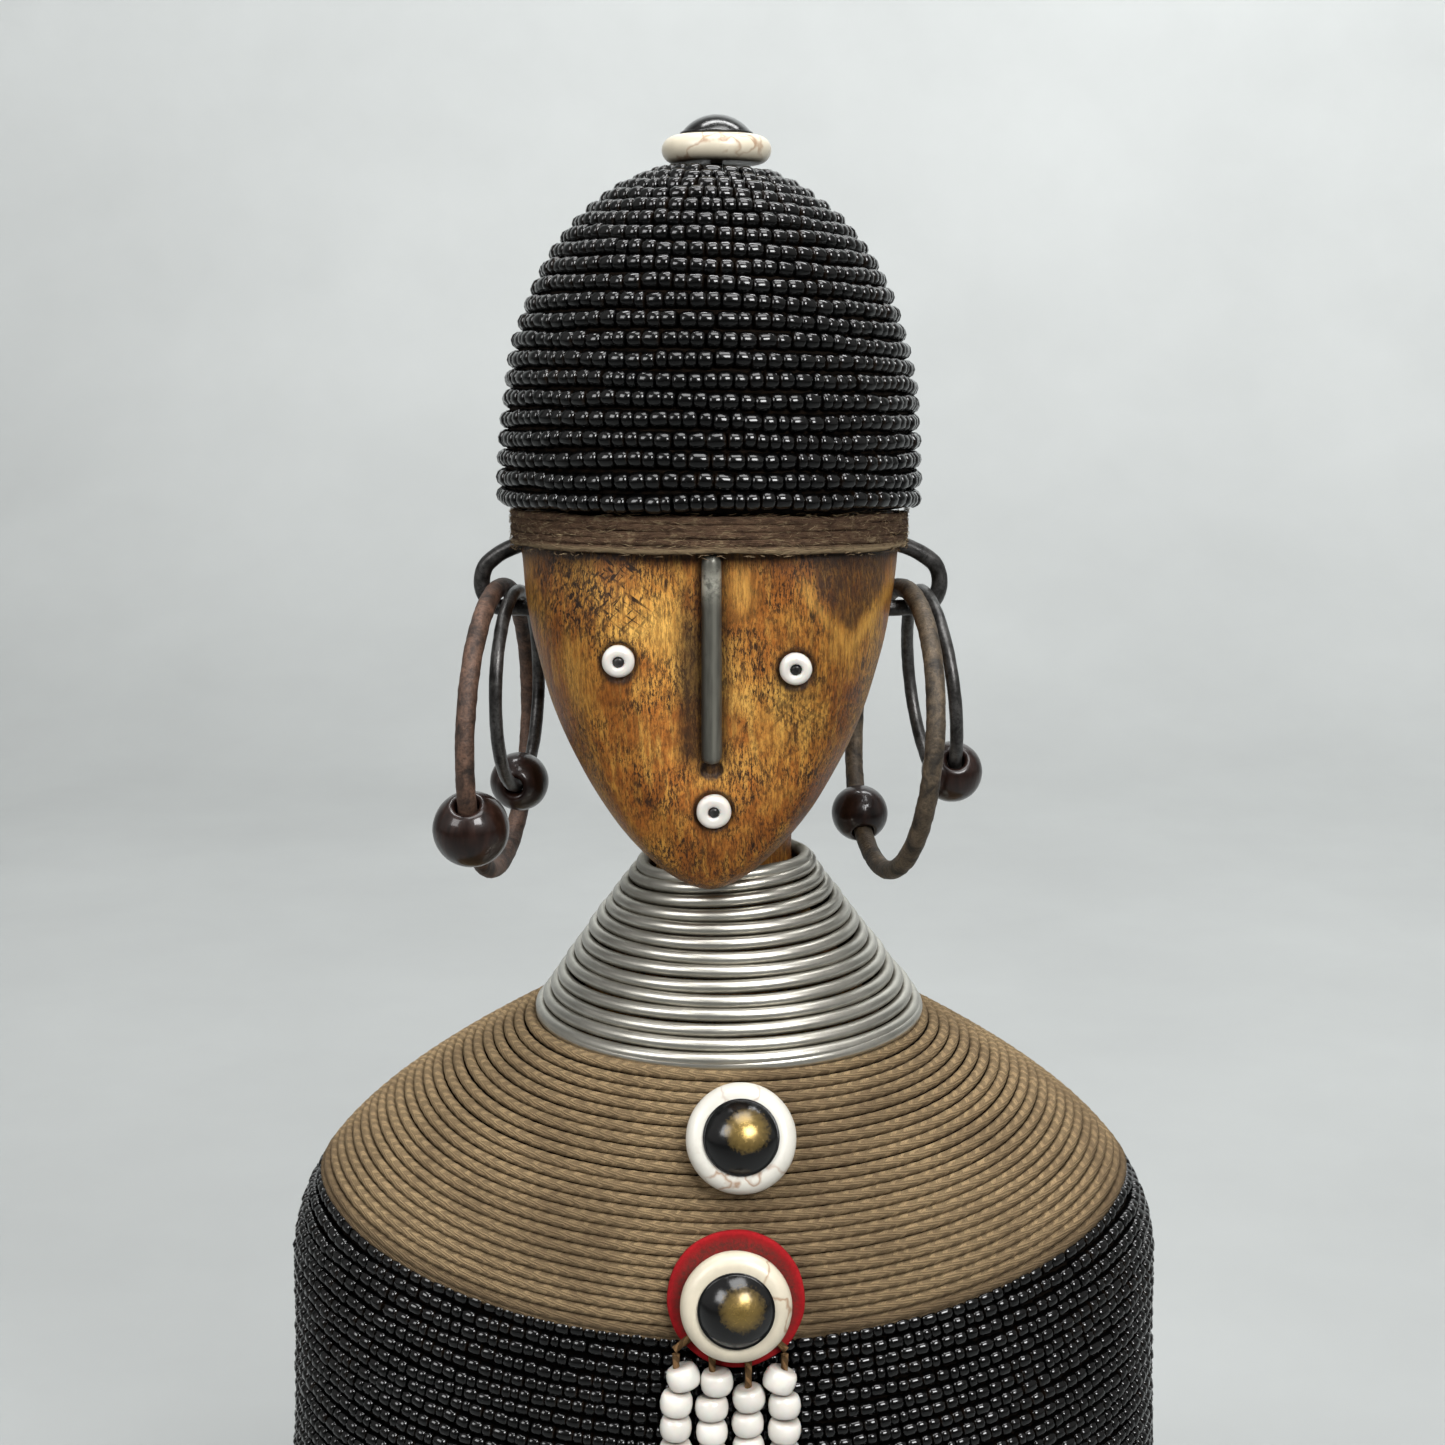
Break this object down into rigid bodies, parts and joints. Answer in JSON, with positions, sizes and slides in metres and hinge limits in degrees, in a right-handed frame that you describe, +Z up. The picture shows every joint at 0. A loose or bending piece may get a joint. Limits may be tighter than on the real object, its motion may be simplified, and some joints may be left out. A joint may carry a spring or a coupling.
{
  "type": "beaded fertility doll",
  "caption": "Free-standing carved wooden fertility doll, wound with black glass beads, twine and neck wire, with swinging earrings and pendant bead strings.",
  "frame": {"origin": "middle of the flat base, on the surface the doll stands on", "axes": "+Z up, the face looks along -Y, +X is towards the viewer's right"},
  "size_m": [0.191, 0.129, 0.3998],
  "materials": {
    "carved_wood": "carved wood, oiled and worn, with dark flecks",
    "black_beads": "opaque black glass, glossy",
    "dark_cord": "fuzzy brown cord",
    "pale_stone": "cream stone with fine brown cracks",
    "cream_stone": "cream stone, warmer, with fine brown cracks",
    "black_dome": "black enamel on a dome nail",
    "worn_dome": "black enamel worn to brass in the middle",
    "dark_iron": "dark grey iron",
    "rusty_iron": "rusty brown iron",
    "white_beads": "opaque warm white glass",
    "dark_wood": "dark red-brown varnished wood",
    "neck_wire": "bare aluminium wire, dulled, grimy between the turns",
    "twine": "tan twisted twine",
    "red_leather": "matt red leather",
    "pendant_cord": "tan cord"
  },
  "bodies": {
    "figure": {"carved_figure": "carved_wood", "cap_beads": "black_beads", "cap_cord_band": "dark_cord", "crown_disc": "pale_stone", "crown_nail": "black_dome", "nose_bar": "dark_iron", "left_eye_bead": "white_beads", "right_eye_bead": "white_beads", "mouth_bead": "white_beads", "left_eye_pin": "dark_iron", "right_eye_pin": "dark_iron", "mouth_pin": "dark_iron", "left_ear_loop": "dark_iron", "right_ear_loop": "dark_iron", "neck_coil": "neck_wire", "shoulder_twine": "twine", "body_beads": "black_beads", "upper_chest_ring": "pale_stone", "upper_chest_nail": "worn_dome", "red_disc": "red_leather", "lower_chest_ring": "cream_stone", "lower_chest_nail": "worn_dome", "pendant_tie": "pendant_cord"},
    "left_large_earring": {"left_large_ring": "rusty_iron", "left_large_bead": "dark_wood"},
    "left_small_earring": {"left_small_ring": "dark_iron", "left_small_bead": "dark_wood"},
    "right_large_earring": {"right_large_ring": "rusty_iron", "right_large_bead": "dark_wood"},
    "right_small_earring": {"right_small_ring": "dark_iron", "right_small_bead": "dark_wood"},
    "string_1": {"string_1_cord": "pendant_cord", "string_1_beads": "white_beads"},
    "string_2": {"string_2_cord": "pendant_cord", "string_2_beads": "white_beads"},
    "string_3": {"string_3_cord": "pendant_cord", "string_3_beads": "white_beads"},
    "string_4": {"string_4_cord": "pendant_cord", "string_4_beads": "white_beads"}
  },
  "joints": [
    {"name": "left_large_ring_swing", "type": "hinge", "parent": "figure", "child": "left_large_earring", "pos_m": [-0.04637, 0.00123, 0.3009], "axis": [-0.9781, 0.2079, 0], "range_deg": [-25, 45]},
    {"name": "left_small_ring_swing", "type": "hinge", "parent": "left_large_earring", "child": "left_small_earring", "pos_m": [-0.0427, 0.00045, 0.3009], "axis": [-0.9781, 0.2079, 0], "range_deg": [-12, 10]},
    {"name": "right_large_ring_swing", "type": "hinge", "parent": "figure", "child": "right_large_earring", "pos_m": [0.03729, 0.00057, 0.3009], "axis": [-0.9781, -0.2079, 0], "range_deg": [-16, 45]},
    {"name": "right_small_ring_swing", "type": "hinge", "parent": "right_large_earring", "child": "right_small_earring", "pos_m": [0.04096, 0.00135, 0.3009], "axis": [-0.9781, -0.2079, 0], "range_deg": [-20, 12]},
    {"name": "string_1_swing", "type": "hinge", "parent": "figure", "child": "string_1", "pos_m": [-0.00923, -0.06031, 0.16514], "axis": [-1, 0, 0], "range_deg": [0, 60]},
    {"name": "string_2_swing", "type": "hinge", "parent": "figure", "child": "string_2", "pos_m": [-0.00228, -0.06031, 0.16514], "axis": [-1, 0, 0], "range_deg": [0, 60]},
    {"name": "string_3_swing", "type": "hinge", "parent": "figure", "child": "string_3", "pos_m": [0.00468, -0.06031, 0.16514], "axis": [-1, 0, 0], "range_deg": [0, 60]},
    {"name": "string_4_swing", "type": "hinge", "parent": "figure", "child": "string_4", "pos_m": [0.01162, -0.06031, 0.16514], "axis": [-1, 0, 0], "range_deg": [0, 60]}
  ]
}
